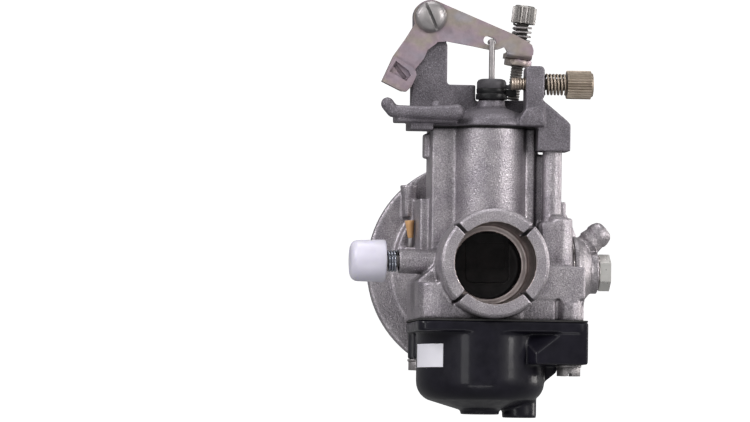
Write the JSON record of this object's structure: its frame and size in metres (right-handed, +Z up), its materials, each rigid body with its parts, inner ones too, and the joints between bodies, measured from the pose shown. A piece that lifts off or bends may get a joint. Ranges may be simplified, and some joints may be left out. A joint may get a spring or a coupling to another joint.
{
  "type": "carburetor",
  "caption": "Small scooter slide carburetor with clamp collar, bell-crank throttle lever, black float bowl and round air-filter flange.",
  "frame": {"origin": "centre of the clamp collar's mouth plane", "axes": "+Y along the throttle bore from the collar towards the air filter, +Z up along the throttle slide, +X towards the fuel inlet"},
  "size_m": [0.079, 0.055, 0.1241],
  "materials": {
    "body_casting": "tumbled die casting",
    "cap_casting": "darker die casting",
    "bowl_black": "glossy moulded black",
    "gasket": "matt",
    "rubber": "moulded",
    "retainer": "satin",
    "plated_steel": "zinc plated",
    "lever_zinc": "passivated zinc plating",
    "adjuster_bronze": "dull nickelled brass",
    "brass": "turned",
    "label": "satin",
    "float_plastic": "satin",
    "banjo_cast": "die casting",
    "bolt_zinc": "zinc plated",
    "knob_plastic": "milky translucent"
  },
  "bodies": {
    "root": {"main_body": "body_casting", "float_bowl": "bowl_black", "bowl_gasket": "gasket", "bowl_screws": "plated_steel", "bowl_washers": "plated_steel", "bowl_label": "label", "top_cap": "cap_casting", "cap_gasket": "gasket", "cap_screws": "plated_steel", "link_seal": "rubber", "seal_retainer": "retainer", "lever_screw": "lever_zinc", "lever_washer": "plated_steel", "adjuster_spring": "adjuster_bronze", "slide_spring": "plated_steel", "atomizer": "brass", "main_jet": "brass", "idle_jet": "brass", "starter_jet": "brass", "float_pin": "plated_steel", "needle_seat": "brass", "banjo_fitting": "banjo_cast", "banjo_bolt": "bolt_zinc", "banjo_washers": "brass", "fuel_strainer": "plated_steel", "mixture_spring": "plated_steel", "starter_spring": "plated_steel", "starter_cable_bush": "brass", "air_bleed_plug": "brass", "locating_pin": "plated_steel"},
    "lever": {"throttle_lever": "lever_zinc", "idle_screw_bush": "lever_zinc", "idle_stop_spring": "plated_steel"},
    "slide": {"throttle_slide": "brass", "link_wire": "plated_steel"},
    "idle_screw": {"idle_stop_screw": "plated_steel"},
    "adjuster": {"cable_adjuster": "adjuster_bronze"},
    "mixture_rod": {"mixture_needle": "plated_steel"},
    "mixture_grip": {"mixture_knob": "knob_plastic"},
    "choke": {"starter_plunger": "brass"},
    "float_arm": {"float": "float_plastic"},
    "valve": {"float_needle": "plated_steel"}
  },
  "joints": [
    {"name": "throttle_swing", "type": "hinge", "parent": "root", "child": "lever", "pos_m": [-0.01665, 0.02995, 0.074], "axis": [0, -1, 0], "range_deg": [0, 44], "stiffness_Nm_per_rad": 0.03, "springref_deg": -17.19},
    {"name": "slide_lift", "type": "slide", "parent": "root", "child": "slide", "axis": [0, 0, 1], "range_m": [0, 0.01476], "deforming": ["slide_spring"]},
    {"name": "idle_turn", "type": "hinge", "parent": "lever", "child": "idle_screw", "pos_m": [0.0089, 0.035, 0.04995], "axis": [0.1201, 0, 0.9928], "range_deg": [-360, 360]},
    {"name": "adjuster_turn", "type": "hinge", "parent": "root", "child": "adjuster", "pos_m": [0.014, 0.023, 0.05415], "axis": [1, 0, 0], "range_deg": [-360, 360]},
    {"name": "mixture_turn", "type": "hinge", "parent": "mixture_rod", "child": "mixture_grip", "pos_m": [-0.035, 0.0205, 0.0008], "axis": [1, 0, 0], "range_deg": [-540, 540]},
    {"name": "mixture_travel", "type": "slide", "parent": "root", "child": "mixture_rod", "axis": [1, 0, 0], "range_m": [-0.0012, 0.0012], "deforming": ["mixture_spring"]},
    {"name": "choke_lift", "type": "slide", "parent": "root", "child": "choke", "axis": [0, 0, 1], "range_m": [0, 0.005], "stiffness_N_per_m": 150, "springref_m": -0.008, "deforming": ["starter_spring"]},
    {"name": "float_swing", "type": "hinge", "parent": "root", "child": "float_arm", "pos_m": [0.0186, 0.025, -0.0196], "axis": [0, -1, 0], "range_deg": [0, 6]},
    {"name": "valve_travel", "type": "slide", "parent": "root", "child": "valve", "axis": [0, 0, 1], "range_m": [-0.00045, 0]}
  ],
  "couplings": [
    {"joint": "slide_lift", "follows": "throttle_swing", "m_per_rad": 0.019207},
    {"joint": "mixture_travel", "follows": "mixture_turn", "m_per_rad": 0.0001273},
    {"joint": "valve_travel", "follows": "float_swing", "m_per_rad": -0.0041}
  ]
}
